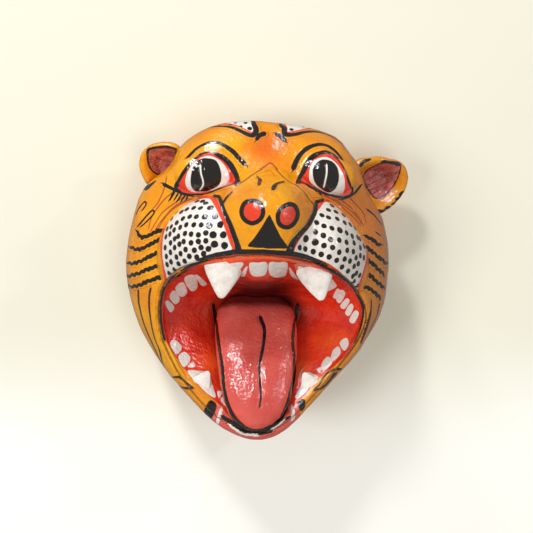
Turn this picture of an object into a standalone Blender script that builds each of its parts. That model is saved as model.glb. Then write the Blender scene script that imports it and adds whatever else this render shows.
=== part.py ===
"""Roaring tiger mask of paper pulp, in the folk manner: a moulded head with a separate snout,
a cup-shaped mouth, a tongue, four fangs, two eyes, two ears, a flat back band and a wire
across the hollow back to hang it by. Metres, +Z up, the face towards -Y and the wall behind at +Y.
Shapes below are drawn in millimetres as (x, z) or (x, z, depth), depth being the height
above the wall; `place` brings them to size."""

import math

import bmesh
import bpy
import numpy as np
from mathutils import Vector

MM = 0.001

# Overall sizes, which every drawn shape follows: the head's outline, and how far the
# ridge of the nose stands out from the wall
HEAD_WIDTH = 201.0
HEAD_HEIGHT = 235.0
NOSE_REACH = 150.0

# Walls, clearances and small parts
HEAD_WALL = 4.0
SNOUT_WALL = 3.6
BOWL_WALL = 3.0
GLUE_GAP = 0.3
SNOUT_LEDGE = 3.0
BAND_DEPTH = 5.0
BAND_WIDTH = 7.0
EYE_BULGE = 12.0
EAR_DISH = 8.0
TONGUE_THICKNESS = 18.0
UPPER_FANG_LENGTH = 23.0
LOWER_FANG_LENGTH = 19.0
WIRE_DIAMETER = 2.0
WIRE_GRIP = 9.0
WIRE_CROWN = 4.0
PATCH_REACH = 15.0
PATCH_HEIGHT = 24.0
PATCH_DEPTH = 24.0

# Where the nail bears under the hanging wire, from the middle of the face
NAIL_HEIGHT = 72.0
NAIL_DEPTH = 11.0

# How finely the moulded surfaces are divided
HEAD_STEPS = 72
SNOUT_STEPS = 72
BOWL_STEPS = 56

# Outlines (x, z, depth of the edge)
HEAD_OUTLINE = [
    (-4, -126, 84), (13, -120, 80), (30, -105, 73), (55, -80, 61), (79, -53, 50),
    (91, -30, 43), (96, -2, 38), (95, 21, 38), (90, 46, 40), (81, 68, 44), (68, 87, 49),
    (53, 99, 53), (31, 105, 57), (6, 108, 60), (-19, 109, 59), (-41, 105, 55),
    (-62, 93, 50), (-79, 77, 45), (-92, 60, 40), (-99, 40, 38), (-103, 20, 38),
    (-105, -1, 38), (-102, -22, 40), (-93, -48, 45), (-75, -76, 56), (-56, -97, 68),
    (-38, -114, 77), (-21, -123, 82),
]
SNOUT_OUTLINE = [
    (0, 74, 91), (19, 66, 91), (40, 50, 88), (60, 33, 84), (73, 11, 80), (75, -9, 78),
    (68, -24, 76), (58, -38, 78), (30, -36, 96), (-6, -34, 104), (-38, -35, 98),
    (-66, -32, 78), (-78, -12, 77), (-81, 4, 78), (-77, 24, 80), (-64, 41, 85),
    (-44, 53, 88), (-19, 66, 91),
]
MOUTH_OUTLINE = [
    (-8, 8, 143), (33, 2, 118), (56, -9, 97), (69, -22, 82), (74, -38, 76), (67, -57, 76),
    (48, -81, 81), (28, -104, 88), (13, -117, 92), (-5, -122, 94), (-21, -119, 93),
    (-39, -110, 89), (-54, -95, 84), (-67, -75, 79), (-77, -52, 76), (-79, -30, 76),
    (-75, -12, 80), (-62, 0, 99), (-44, 5, 121),
]

# The ridge of the nose (z, depth) and how far it lies to the side
NOSE_RIDGE = [
    (-12, 140), (8, 146), (30, 150), (42, 150), (50, 144), (58, 131), (66, 113), (74, 96),
]
NOSE_X = -3.0

# Middles that the forms are drawn about, and the depth of the plain face
HEAD_MIDDLE = (-5.0, -8.0)
SNOUT_MIDDLE = (-3.0, 26.0)
THROAT = (-7, -31, 44)
FACE_FRONT = 99.0

# The head narrows towards the wall: share of the edge's depth, share of the outline
BACK_ROLL = [(0.0, 0.925), (0.3, 0.955), (0.68, 0.985), (1.0, 1.0)]
SIDE_EDGE_DEPTH = 38.0
# How far cutters run on past what they cut
RUN_ON = 30.0

DRAWN_WIDTH = max(p[0] for p in HEAD_OUTLINE) - min(p[0] for p in HEAD_OUTLINE)
DRAWN_HEIGHT = max(p[1] for p in HEAD_OUTLINE) - min(p[1] for p in HEAD_OUTLINE)
DRAWN_REACH = max(depth for _, depth in NOSE_RIDGE)

COLOURS = {
    "orange": (0.80, 0.31, 0.015),
    "vermilion": (0.78, 0.06, 0.025),
    "tongue_pink": (0.60, 0.10, 0.07),
    "tooth_white": (0.78, 0.74, 0.66),
    "eye_white": (0.80, 0.79, 0.74),
    "kraft": (0.42, 0.30, 0.19),
    "steel": (0.55, 0.55, 0.56),
}


def clear_scene():
    for thing in list(bpy.data.objects):
        bpy.data.objects.remove(thing, do_unlink=True)


def place(x, z, depth):
    """A drawn place, brought to the overall sizes, in millimetres."""
    return np.array([
        x * HEAD_WIDTH / DRAWN_WIDTH,
        -depth * NOSE_REACH / DRAWN_REACH,
        z * HEAD_HEIGHT / DRAWN_HEIGHT,
    ])


def material(name, roughness=0.25, metallic=0.0):
    made = bpy.data.materials.get(name)
    if made is None:
        made = bpy.data.materials.new(name)
        made.use_nodes = True
        shader = made.node_tree.nodes["Principled BSDF"]
        shader.inputs["Base Color"].default_value = (*COLOURS[name], 1.0)
        shader.inputs["Roughness"].default_value = roughness
        shader.inputs["Metallic"].default_value = metallic
    return made


def closed_curve(points, count):
    """Evenly spaced places on the smooth closed curve through the points."""
    knots = np.array(points, float)
    last = np.roll(knots, 1, axis=0)
    after = np.roll(knots, -1, axis=0)
    second = np.roll(knots, -2, axis=0)
    dense = []
    for t in np.linspace(0, 1, 24, endpoint=False):
        dense.append(0.5 * (
            2 * knots + (after - last) * t
            + (2 * last - 5 * knots + 4 * after - second) * t ** 2
            + (3 * knots - last - 3 * after + second) * t ** 3
        ))
    line = np.stack(dense, axis=1).reshape(-1, knots.shape[1])
    loop = np.vstack([line, line[:1]])
    run = np.concatenate([[0], np.cumsum(np.linalg.norm(np.diff(loop, axis=0), axis=1))])
    wanted = np.linspace(0, run[-1], count, endpoint=False)
    return np.stack([np.interp(wanted, run, loop[:, i]) for i in range(loop.shape[1])], axis=1)


def drawn_in(curve, middle, share):
    """The curve's places brought towards a middle, in the plan, to a share of their way out."""
    return np.array(middle) + (curve[:, :2] - np.array(middle)) * share


def inset(curve, distance):
    """The closed curve's places moved inwards in the plan by a distance."""
    along = np.roll(curve, -1, axis=0)[:, :2] - np.roll(curve, 1, axis=0)[:, :2]
    along /= np.linalg.norm(along, axis=1)[:, None]
    inward = np.stack([-along[:, 1], along[:, 0]], axis=1)
    inward *= np.sign(np.sum((curve[:, :2].mean(axis=0) - curve[:, :2]) * inward))
    moved = curve.copy()
    moved[:, :2] += inward * distance
    return moved


def bump(x, z, cx, cz, wide, high):
    return np.exp(-((x - cx) / wide) ** 2 - ((z - cz) / high) ** 2)


def soft_most(*heights, softness=5.5):
    """The greatest of several heights, with the meeting rounded."""
    return softness * np.log(sum(np.exp(h / softness) for h in heights))


def drawn_body(name, rings, grow=0.0):
    """A closed body lofted through rings of drawn places."""
    return lofted(name, [[place(*p) for p in ring] for ring in rings], grow)


def lofted(name, rings, grow=0.0):
    """A closed body lofted through rings of places in millimetres, x, y, z, its first and last
    ring closed by a point. It is then grown, or shrunk, by a distance square to its surface."""
    mesh = bmesh.new()
    loops = [[mesh.verts.new(p) for p in ring] for ring in rings]
    count = len(loops[0])
    for a, b in zip(loops, loops[1:]):
        for i in range(count):
            j = (i + 1) % count
            mesh.faces.new((a[i], a[j], b[j]))
            mesh.faces.new((a[i], b[j], b[i]))
    for loop in (loops[0], loops[-1]):
        middle = mesh.verts.new(sum((v.co for v in loop), Vector()) / count)
        for i in range(count):
            mesh.faces.new((loop[i], loop[(i + 1) % count], middle))
    bmesh.ops.recalc_face_normals(mesh, faces=mesh.faces)
    if grow:
        mesh.normal_update()
        moved = [v.co + v.normal * grow for v in mesh.verts]
        for v, co in zip(mesh.verts, moved):
            v.co = co
    bmesh.ops.scale(mesh, vec=(MM, MM, MM), verts=mesh.verts)
    return new_object(name, mesh)


def new_object(name, mesh):
    data = bpy.data.meshes.new(name)
    mesh.to_mesh(data)
    mesh.free()
    made = bpy.data.objects.new(name, data)
    bpy.context.scene.collection.objects.link(made)
    made.parent = FRAME
    return made


def guide(made):
    """Marks a cutter, which is left out of the model."""
    made.hide_render = True
    made.display_type = "WIRE"
    return made


def boolean(target, cutter, operation="DIFFERENCE", solver="EXACT"):
    cut = target.modifiers.new(operation.lower(), "BOOLEAN")
    cut.operation = operation
    cut.solver = solver
    cut.object = cutter


def finish(made, colour, roughness=0.25, metallic=0.0):
    made.data.materials.append(material(colour, roughness, metallic))
    made.data.shade_smooth()
    made.data.set_sharp_from_angle(angle=math.radians(40))


def round_off(share, power):
    """Height of a rounded form, as a share, at a share of the way from its middle to its edge."""
    return (1 - share ** power) ** (1 / power)


def brow_rise(x, z):
    """How far the forehead, brows and temples stand out from, or sink into, the plain face."""
    rise = 4.0 * bump(x, z, 0, 74, 16, 14) - 5.0 * bump(x, z, 1, 96, 9, 14)
    for side in (-1, 1):
        rise += 6.0 * bump(x, z, side * 42 - 1, 86, 26, 8)
        rise += 5.0 * bump(x, z, side * 44 - 1, 66, 24, 15)
        rise -= 4.0 * bump(x, z, side * 78 - 5, 40, 14, 22)
    return rise


def head_form(name, grow=0.0, back=0.0):
    """The solid outer form of the head, from the wall forwards. `back` carries it on behind the wall."""
    edge = closed_curve(HEAD_OUTLINE, HEAD_STEPS)
    rings = []
    if back:
        plan = drawn_in(edge, HEAD_MIDDLE, BACK_ROLL[0][1])
        rings.append(np.column_stack([plan, np.full(len(edge), -back)]))
    for rise, share in BACK_ROLL[:-1]:
        rings.append(np.column_stack([drawn_in(edge, HEAD_MIDDLE, share), edge[:, 2] * rise]))
    for share in (1.0, 0.99, 0.965, 0.93, 0.88, 0.82, 0.745, 0.66, 0.56, 0.44, 0.3, 0.14):
        plan = drawn_in(edge, HEAD_MIDDLE, share)
        depth = edge[:, 2] + (FACE_FRONT - edge[:, 2]) * round_off(share, 2.6)
        depth += round_off(share, 4) * brow_rise(plan[:, 0], plan[:, 1])
        rings.append(np.column_stack([plan, depth]))
    return drawn_body(name, rings, grow)


def snout_top(x, z):
    """Depth of the snout's front: the wedge of the nose between two full whisker pads."""
    ridge = np.interp(z, *zip(*NOSE_RIDGE))
    nose = ridge - 27 * np.abs((x - NOSE_X) / 33) ** 2.7
    pads = [
        136 - 23 * ((x - cx) / 33) ** 2 - 20 * ((z - cz) / 36) ** 2
        for cx, cz in ((-48, 18), (42, 15))
    ]
    return soft_most(nose, *pads)


def snout_form(name, grow=0.0):
    edge = closed_curve(SNOUT_OUTLINE, SNOUT_STEPS)
    behind = drawn_in(edge, SNOUT_MIDDLE, 0.93)
    rings = [np.column_stack([behind, np.full(len(edge), 52.0)])]
    for share in (1.0, 0.99, 0.965, 0.93, 0.88, 0.81, 0.73, 0.64, 0.54, 0.44, 0.33, 0.21, 0.1):
        plan = drawn_in(edge, SNOUT_MIDDLE, share)
        top = snout_top(plan[:, 0], plan[:, 1])
        depth = edge[:, 2] + (top - edge[:, 2]) * round_off(share, 2.7)
        rings.append(np.column_stack([plan, depth]))
    return drawn_body(name, rings, grow)


def snout_passage(name):
    """The way through the head's front wall behind the snout, which leaves a ledge to glue it on."""
    edge = inset(closed_curve(SNOUT_OUTLINE, SNOUT_STEPS), SNOUT_WALL + SNOUT_LEDGE)
    near, far = edge.copy(), edge.copy()
    near[:, 2] = 45.0
    far[:, 2] = 130.0
    return drawn_body(name, [near, far])


def bowl_depth(edge, share):
    """Depth of the mouth's lining at a share of the way from the throat to the lips: the palate
    drops off behind the upper gum, the floor slopes evenly, the sides are hollow."""
    away = edge[:, :2] - np.array(THROAT[:2])
    away /= np.linalg.norm(away, axis=1)[:, None]
    up = np.clip(away[:, 1], 0, 1) ** 1.3
    down = np.clip(-away[:, 1], 0, 1) ** 1.3
    side = 1 - up - down
    stops = [0, 0.15, 0.3, 0.45, 0.6, 0.8, 1]
    palate = np.interp(share, stops, [0, 0.03, 0.20, 0.54, 0.82, 0.92, 1])
    floor = np.interp(share, stops, [0, 0.03, 0.12, 0.27, 0.46, 0.74, 1])
    cheek = np.interp(share, stops, [0, 0.01, 0.05, 0.13, 0.30, 0.68, 1])
    rise = up * palate + down * floor + side * cheek
    return THROAT[2] + (edge[:, 2] - THROAT[2]) * rise


def bowl_form(name, plan_inset, wall, front):
    """The solid form of the mouth from the throat out past the lips. `wall` sinks it deeper
    than the lining and `plan_inset` narrows it at the lips."""
    edge = inset(closed_curve(MOUTH_OUTLINE, BOWL_STEPS), plan_inset)
    ahead = drawn_in(edge, THROAT[:2], 1.03)
    rings = [np.column_stack([ahead, np.full(len(edge), front)])]
    for share in (1.0, 0.9, 0.8, 0.7, 0.6, 0.52, 0.45, 0.37, 0.3, 0.2, 0.1):
        plan = drawn_in(edge, THROAT[:2], share)
        rings.append(np.column_stack([plan, bowl_depth(edge, share) - wall]))
    return drawn_body(name, rings)


# Around the ear in shares of its half sizes, and from its back over the lip into the dish
# as share of the outline, height in millimetres
EAR_OUTLINE = [
    (0, 1.0), (0.66, 0.76), (0.98, 0.2), (0.86, -0.45), (0.45, -0.9), (0, -1.0),
    (-0.45, -0.9), (-0.86, -0.45), (-0.98, 0.2), (-0.66, 0.76),
]
EAR_PROFILE = [
    (0.3, -15), (0.62, -12.5), (0.86, -8), (0.98, -2), (1.0, 3), (0.93, 6.5), (0.82, 6.2),
    (0.68, 2), (0.5, 3 - EAR_DISH), (0.25, 1.5 - EAR_DISH),
]


def ear_form(name, x, z, depth, wide, high, tilt, turn):
    """A cupped ear: a rounded back, a thick lip and a dished front, tilted in the plan and
    turned to look outwards."""
    shape = closed_curve(EAR_OUTLINE, 28)
    lean = math.radians(tilt)
    swing = math.radians(turn)
    rings = []
    for share, lift in EAR_PROFILE:
        u = shape[:, 0] * wide * share
        v = shape[:, 1] * high * share
        across = u * math.cos(swing) + lift * math.sin(swing)
        out = lift * math.cos(swing) - u * math.sin(swing)
        px = x + across * math.cos(lean) - v * math.sin(lean)
        pz = z + across * math.sin(lean) + v * math.cos(lean)
        rings.append(np.column_stack([px, pz, depth + out]))
    return drawn_body(name, rings)


def dome(name, x, z, depth, wide, high, bulge, tilt):
    """An almond-shaped bead for an eye."""
    lean = math.radians(tilt)
    turns = np.linspace(0, 2 * math.pi, 32, endpoint=False)
    rings = []
    for rise in (-60, -35, -12, 12, 32, 50, 66, 80):
        level = math.radians(rise)
        u = wide * np.cos(turns) * math.cos(level)
        v = high * np.sin(turns) * math.cos(level)
        px = x + u * math.cos(lean) - v * math.sin(lean)
        pz = z + u * math.sin(lean) + v * math.cos(lean)
        rings.append(np.column_stack([px, pz, np.full(32, depth + bulge * math.sin(level))]))
    return drawn_body(name, rings)


def tube(name, stations, sides=28):
    """A closed body through oval stations (x, z, depth, half width, half thickness, lean of the
    oval's normal from straight ahead, in degrees towards +Z)."""
    turns = np.linspace(0, 2 * math.pi, sides, endpoint=False)
    rings = []
    for x, z, depth, wide, thick, lean in stations:
        tip = math.radians(lean)
        u = wide * np.cos(turns)
        v = thick * np.sin(turns)
        rings.append(np.column_stack([x + u, z + v * math.sin(tip), depth + v * math.cos(tip)]))
    return drawn_body(name, rings)


# Share of a fang's length, share of its girth
FANG_TAPER = [
    (-0.25, 0.92), (0.0, 1.0), (0.25, 0.86), (0.5, 0.64), (0.72, 0.42), (0.88, 0.24), (0.97, 0.12),
]


def fang(name, root, tip, wide, thick, length):
    """A slightly hooked tooth from its root to its tip, both (x, z, depth)."""
    root, tip = np.array(root, float), np.array(tip, float)
    aim = (tip - root) / np.linalg.norm(tip - root)
    across = np.cross(aim, (0, 0, 1.0))
    across /= np.linalg.norm(across)
    out = np.cross(across, aim)
    turns = np.linspace(0, 2 * math.pi, 20, endpoint=False)
    rings = []
    for share, full in FANG_TAPER:
        middle = root + aim * length * share + out * 3.0 * share * (1 - share)
        rings.append(
            middle
            + np.outer(np.cos(turns) * wide * full, across)
            + np.outer(np.sin(turns) * thick * full, out)
        )
    return drawn_body(name, rings)


def back_band():
    """A flat paper band on the back edge, between the wall and the head."""
    edge = closed_curve(HEAD_OUTLINE, HEAD_STEPS)
    outer = drawn_in(edge, HEAD_MIDDLE, BACK_ROLL[0][1])
    inner = inset(outer, BAND_WIDTH)
    front = BAND_DEPTH * DRAWN_REACH / NOSE_REACH
    mesh = bmesh.new()
    loops = [
        [mesh.verts.new(place(p[0], p[1], depth)) for p in curve]
        for curve, depth in ((outer, 0.0), (outer, front), (inner, front), (inner, 0.0))
    ]
    count = len(edge)
    for a, b in zip(loops, loops[1:] + loops[:1]):
        for i in range(count):
            j = (i + 1) % count
            mesh.faces.new((a[i], a[j], b[j], b[i]))
    bmesh.ops.recalc_face_normals(mesh, faces=mesh.faces)
    bmesh.ops.scale(mesh, vec=(MM, MM, MM), verts=mesh.verts)
    return new_object("back_band", mesh)


def slab(name, low, high):
    """A plain block between two corners given in millimetres, x, y, z."""
    mesh = bmesh.new()
    bmesh.ops.create_cube(mesh, size=1)
    low, high = Vector(low), Vector(high)
    for v in mesh.verts:
        v.co = ((low + high) / 2 + Vector([c * s for c, s in zip(v.co, high - low)])) * MM
    return new_object(name, mesh)


def wire(name, points, diameter):
    """A round wire along a line of places in millimetres, which runs mostly along X."""
    turns = np.linspace(0, 2 * math.pi, 12, endpoint=False)
    circle = np.column_stack([0 * turns, np.cos(turns), np.sin(turns)]) * diameter / 2
    return lofted(name, [np.array(p) + circle for p in points])


def hollow_side(height, depth, side):
    """How far the hollow reaches to one side at a height and depth above the wall, in millimetres."""
    edge = closed_curve(HEAD_OUTLINE, HEAD_STEPS * 4)
    rise = depth / (SIDE_EDGE_DEPTH * NOSE_REACH / DRAWN_REACH)
    plan = drawn_in(edge, HEAD_MIDDLE, np.interp(rise, *zip(*BACK_ROLL)))
    sized = np.array([place(px, pz, 0) for px, pz in plan])
    half = sized[np.sign(sized[:, 0]) == side]
    nearest = half[np.argmin(np.abs(half[:, 2] - height))]
    return nearest[0] - side * HEAD_WALL


def hanging_line(extra=0.0):
    """The wire's route from one side of the hollow to the other, crowned over the nail. `extra`
    lengthens it at both ends."""
    left, right = (hollow_side(NAIL_HEIGHT, NAIL_DEPTH, side) for side in (-1, 1))
    left += PATCH_REACH - WIRE_GRIP - extra
    right -= PATCH_REACH - WIRE_GRIP - extra
    line = []
    for x in np.linspace(left, right, 25):
        fall = (x / (left if x < 0 else right)) ** 2
        line.append((x, -NAIL_DEPTH, NAIL_HEIGHT + WIRE_DIAMETER / 2 - WIRE_CROWN * fall))
    return line


clear_scene()
FRAME = bpy.data.objects.new("mask_frame", None)
bpy.context.scene.collection.objects.link(FRAME)
FRAME.location = (0, NAIL_DEPTH * MM, -NAIL_HEIGHT * MM)

# Forms that several pieces are cut to
head_clear = guide(head_form("head_clear", grow=GLUE_GAP, back=RUN_ON))
head_hollow = guide(head_form("head_hollow", grow=-HEAD_WALL, back=RUN_ON))
snout_skin = guide(snout_form("snout_skin"))
snout_clear = guide(snout_form("snout_clear", grow=GLUE_GAP))
snout_hollow = guide(snout_form("snout_hollow", grow=-SNOUT_WALL))
snout_core = guide(snout_passage("snout_core"))
mouth_hole = guide(bowl_form("mouth_hole", 0.0, BOWL_WALL + GLUE_GAP * 2, 190.0))
mouth_air = guide(bowl_form("mouth_air", GLUE_GAP + BOWL_WALL, 0.0, 200.0))
mouth_clear = guide(bowl_form("mouth_clear", GLUE_GAP * 2 + BOWL_WALL, -GLUE_GAP, 200.0))

head_shell = head_form("head_shell")
boolean(head_shell, head_hollow)
boolean(head_shell, snout_core)
boolean(head_shell, mouth_hole)
finish(head_shell, "orange")

snout = snout_form("snout")
for cutter in (snout_hollow, head_clear, mouth_hole):
    # The exact solver loses the thin wall where these three forms cross
    boolean(snout, cutter, solver="MANIFOLD")
finish(snout, "orange")

behind_band = guide(slab("behind_band", (-200, -BAND_DEPTH - GLUE_GAP, -200), (200, 60, 200)))
boolean(head_shell, behind_band)

mouth_bowl = bowl_form("mouth_bowl", GLUE_GAP, BOWL_WALL, 185.0)
skins = guide(head_form("skins"))
boolean(skins, snout_skin, "UNION")
boolean(mouth_bowl, mouth_air)
boolean(mouth_bowl, skins, "INTERSECT")
finish(mouth_bowl, "vermilion")

# Along the tongue from throat to tip: x, z, depth, half width, share of its thickness, lean
TONGUE_STATIONS = [
    (-7, -24, 50, 20, 0.30, 25), (-7, -33, 55, 29, 0.42, 30), (-7, -47, 63, 31, 0.50, 32),
    (-7, -64, 73, 30, 0.53, 34), (-8, -82, 83.5, 27, 0.54, 34), (-8, -97, 91.5, 24, 0.50, 30),
    (-9, -107, 95.5, 19, 0.44, 22), (-9, -113, 97, 12, 0.32, 12), (-9, -117, 97, 5, 0.16, 5),
]
tongue = tube("tongue", [
    (x, z, depth, wide, TONGUE_THICKNESS * share, lean)
    for x, z, depth, wide, share, lean in TONGUE_STATIONS
])
boolean(tongue, mouth_clear, "INTERSECT")
finish(tongue, "tongue_pink")

# Root and tip (x, z, depth), half width, half thickness
UPPER_FANGS = {
    "upper_fang_left": ((-33, 0, 128), (-35, -22, 134), 15.0, 8.5),
    "upper_fang_right": ((31, -2, 122), (36, -25, 127), 15.0, 8.5),
}
LOWER_FANGS = {
    "lower_fang_left": ((-52, -92, 79), (-43, -77, 84), 10.0, 5.5),
    "lower_fang_right": ((35, -94, 81), (27, -78, 86), 10.0, 5.5),
}
for fangs, length in ((UPPER_FANGS, UPPER_FANG_LENGTH), (LOWER_FANGS, LOWER_FANG_LENGTH)):
    for name, (root, tip, wide, thick) in fangs.items():
        tooth = fang(name, root, tip, wide, thick, length)
        boolean(tooth, mouth_clear, "INTERSECT")
        finish(tooth, "tooth_white", 0.35)

# Name, x, half width, tilt; both eyes share their height, depth and half height
for name, x, wide, tilt in (("eye_left", -44.0, 24.0, -3.0), ("eye_right", 42.0, 22.5, -6.0)):
    eye = dome(name, x, 66.0, 89.0, wide, 14.5, EYE_BULGE, tilt)
    boolean(eye, head_clear)
    boolean(eye, snout_clear)
    finish(eye, "eye_white", 0.12)

# x, z, depth, half width, half height, tilt, turn outwards
EARS = {
    "ear_left": (-76, 75, 40, 18.5, 24, 20, -14),
    "ear_right": (90, 64, 36, 22, 27, -42, 16),
}
for name, (x, z, depth, wide, high, tilt, turn) in EARS.items():
    ear = ear_form(name, x, z, depth, wide, high, tilt, turn)
    boolean(ear, head_clear)
    finish(ear, "orange")

band = back_band()
finish(band, "kraft", 0.8)

hanging_wire = wire("hanging_wire", hanging_line(), WIRE_DIAMETER)
finish(hanging_wire, "steel", 0.35, 1.0)
wire_clear = guide(wire("wire_clear", hanging_line(GLUE_GAP), WIRE_DIAMETER + 2 * GLUE_GAP))
patch_clear = guide(head_form("patch_clear", grow=-HEAD_WALL - GLUE_GAP, back=RUN_ON))
for name, side in (("wire_patch_left", -1), ("wire_patch_right", 1)):
    wall = hollow_side(NAIL_HEIGHT, NAIL_DEPTH, side)
    ends = sorted((wall + side * 12.0, wall - side * PATCH_REACH))
    middle = NAIL_HEIGHT - WIRE_CROWN / 2
    patch = slab(
        name,
        (ends[0], -BAND_DEPTH - GLUE_GAP - PATCH_DEPTH, middle - PATCH_HEIGHT / 2),
        (ends[1], -BAND_DEPTH - GLUE_GAP, middle + PATCH_HEIGHT / 2),
    )
    boolean(patch, patch_clear, "INTERSECT")
    boolean(patch, wire_clear)
    finish(patch, "kraft", 0.85)
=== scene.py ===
"""Roaring tiger mask of paper pulp under gloss lacquer, hung on a pale wall."""
import math

import bmesh
import bpy
import numpy as np
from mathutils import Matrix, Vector, noise


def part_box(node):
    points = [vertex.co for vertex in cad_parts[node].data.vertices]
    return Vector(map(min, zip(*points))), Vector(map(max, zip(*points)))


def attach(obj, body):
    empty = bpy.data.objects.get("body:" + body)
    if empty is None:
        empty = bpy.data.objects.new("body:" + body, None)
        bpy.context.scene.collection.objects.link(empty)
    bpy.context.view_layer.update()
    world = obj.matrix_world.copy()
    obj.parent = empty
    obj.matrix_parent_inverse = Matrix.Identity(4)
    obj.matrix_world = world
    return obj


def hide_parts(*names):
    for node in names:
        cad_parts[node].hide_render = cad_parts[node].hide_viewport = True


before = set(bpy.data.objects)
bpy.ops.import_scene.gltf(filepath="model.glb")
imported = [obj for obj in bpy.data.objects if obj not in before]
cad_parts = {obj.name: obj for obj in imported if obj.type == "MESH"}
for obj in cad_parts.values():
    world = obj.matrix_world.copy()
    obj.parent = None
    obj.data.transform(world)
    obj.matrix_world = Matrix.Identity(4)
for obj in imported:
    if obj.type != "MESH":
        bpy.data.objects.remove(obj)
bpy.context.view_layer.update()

# ---------------------------------------------------------------- wall, light and viewpoint
# The mask hangs on a smooth pale wall that is a little whiter from the chin down. A large soft
# light stands low to the left, two small ones above and one at the right make gleams in the
# lacquer, and two weak ones fill the mouth and the hollow back.
WALL_GAP = 0.0004
WALL_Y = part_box("back_band")[1].y + WALL_GAP
FACE_MIDDLE = Vector((0, WALL_Y - 0.0754, -0.072))
VIEW_DISTANCE = 0.725
VIEW_YAW = math.radians(-4)
UPPER_WALL = (0.78, 0.76, 0.63, 1)
LOWER_WALL = (0.96, 0.95, 0.88, 1)


class Value:
    """A socket of a material's nodes, so that its mathematics reads as mathematics."""

    def __init__(self, tree, socket=None):
        self.tree = tree
        self.socket = socket

    def node(self, kind, settings=None, inputs=None, out=0):
        made = self.tree.nodes.new("ShaderNode" + kind)
        for key, value in (settings or {}).items():
            setattr(made, key, value)
        for key, value in (inputs or {}).items():
            if isinstance(value, Value):
                self.tree.links.new(value.socket, made.inputs[key])
            else:
                made.inputs[key].default_value = value
        return Value(self.tree, made.outputs[out])

    def sum(self, operation, first, second=0.0):
        return self.node("Math", {"operation": operation}, {0: first, 1: second})

    def __add__(self, other):
        return self.sum("ADD", self, other)

    def __sub__(self, other):
        return self.sum("SUBTRACT", self, other)

    def __mul__(self, other):
        return self.sum("MULTIPLY", self, other)

    def __radd__(self, other):
        return self.sum("ADD", other, self)

    def __rsub__(self, other):
        return self.sum("SUBTRACT", other, self)

    def __rmul__(self, other):
        return self.sum("MULTIPLY", other, self)

    def __abs__(self):
        return self.sum("ABSOLUTE", self)

    def held(self):
        """This value, kept between 0 and 1."""
        return self.node("Clamp", inputs={0: self})

    def read(self, name):
        """A value stored on the piece's skin."""
        return self.node("Attribute", {"attribute_name": name}, out="Fac")

    def blend(self, below, above):
        """This value's share of one colour over another."""
        return self.node("Mix", {"data_type": "RGBA"}, {0: self, 6: below, 7: above}, out=2)

    def grain(self, size, detail=2.0, roughness=0.5, stretch=(1, 1, 1)):
        """Noise between 0 and 1 in lumps of a size in millimetres."""
        where = self.node("TexCoord", out="Object")
        sized = self.node("Mapping", inputs={0: where, 3: tuple(1000 / size * s for s in stretch)})
        return self.node("TexNoise", inputs={
            "Vector": sized, "Scale": 1.0, "Detail": detail, "Roughness": roughness})


def new_finish(name):
    """A new material, its shader and a value to start its mathematics from."""
    made = bpy.data.materials.new(name)
    made.use_nodes = True
    return made, made.node_tree.nodes["Principled BSDF"], Value(made.node_tree)


def feed(shader, start, **inputs):
    """Joins values to the shader's sockets of the same names."""
    for key, value in inputs.items():
        start.tree.links.new(value.socket, shader.inputs[key.replace("_", " ").title()])


bpy.ops.object.select_all(action="DESELECT")
bpy.ops.mesh.primitive_plane_add(size=6, location=(0, WALL_Y, 0), rotation=(math.pi / 2, 0, 0))
wall = bpy.context.object
wall.name = "wall"
bpy.ops.object.transform_apply(location=True, rotation=True, scale=True)
wall_paint, wall_shader, start = new_finish("wall_paint")
height_up = start.node("SeparateXYZ", inputs={0: start.node("TexCoord", out="Object")}, out="Z")
below_chin = start.node("MapRange", {"interpolation_type": "SMOOTHSTEP"}, {
    "Value": height_up, "From Min": -0.10, "From Max": -0.24})
feed(wall_shader, start, base_color=below_chin.blend(UPPER_WALL, LOWER_WALL))
wall_shader.inputs["Roughness"].default_value = 0.9
wall_shader.inputs["Specular IOR Level"].default_value = 0.1
one_way = start.node("MixShader", inputs={
    0: start.node("NewGeometry", out="Backfacing"),
    1: Value(start.tree, wall_shader.outputs[0]),
    2: start.node("BsdfTransparent"),
})
start.tree.links.new(one_way.socket, start.tree.nodes["Material Output"].inputs[0])
wall.data.materials.append(wall_paint)
wall.visible_shadow = False
wall.visible_diffuse = False
wall.visible_glossy = False

room = bpy.data.worlds.new("room")
room.use_nodes = True
room.node_tree.nodes["Background"].inputs[0].default_value = (1.0, 0.985, 0.95, 1)
room.node_tree.nodes["Background"].inputs[1].default_value = 0.26
bpy.context.scene.world = room
bpy.context.scene.view_settings.view_transform = "Standard"

for name, place, size, power, mirrored in (
    ("key_light", (-1.95, -2.25, -0.45), 1.20, 39.0, False),
    ("spark_light", (-0.58, -1.05, 1.12), 0.24, 10.5, True),
    ("top_light", (-0.58, -0.32, 1.50), 0.26, 12.0, True),
    ("fill_light", (0.22, -1.30, -0.35), 0.60, 5.0, False),
    ("side_light", (0.85, -0.75, 0.40), 0.12, 1.5, True),
    ("back_light", (0.0, 1.0, -0.10), 0.60, 8.0, False),
):
    lamp = bpy.data.lights.new(name, "AREA")
    lamp.shape = "DISK"
    lamp.size = size
    lamp.energy = power
    stand = bpy.data.objects.new(name, lamp)
    bpy.context.scene.collection.objects.link(stand)
    stand.location = place
    stand.rotation_euler = (FACE_MIDDLE - Vector(place)).to_track_quat("-Z", "Y").to_euler()
    stand.visible_glossy = mirrored

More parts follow.
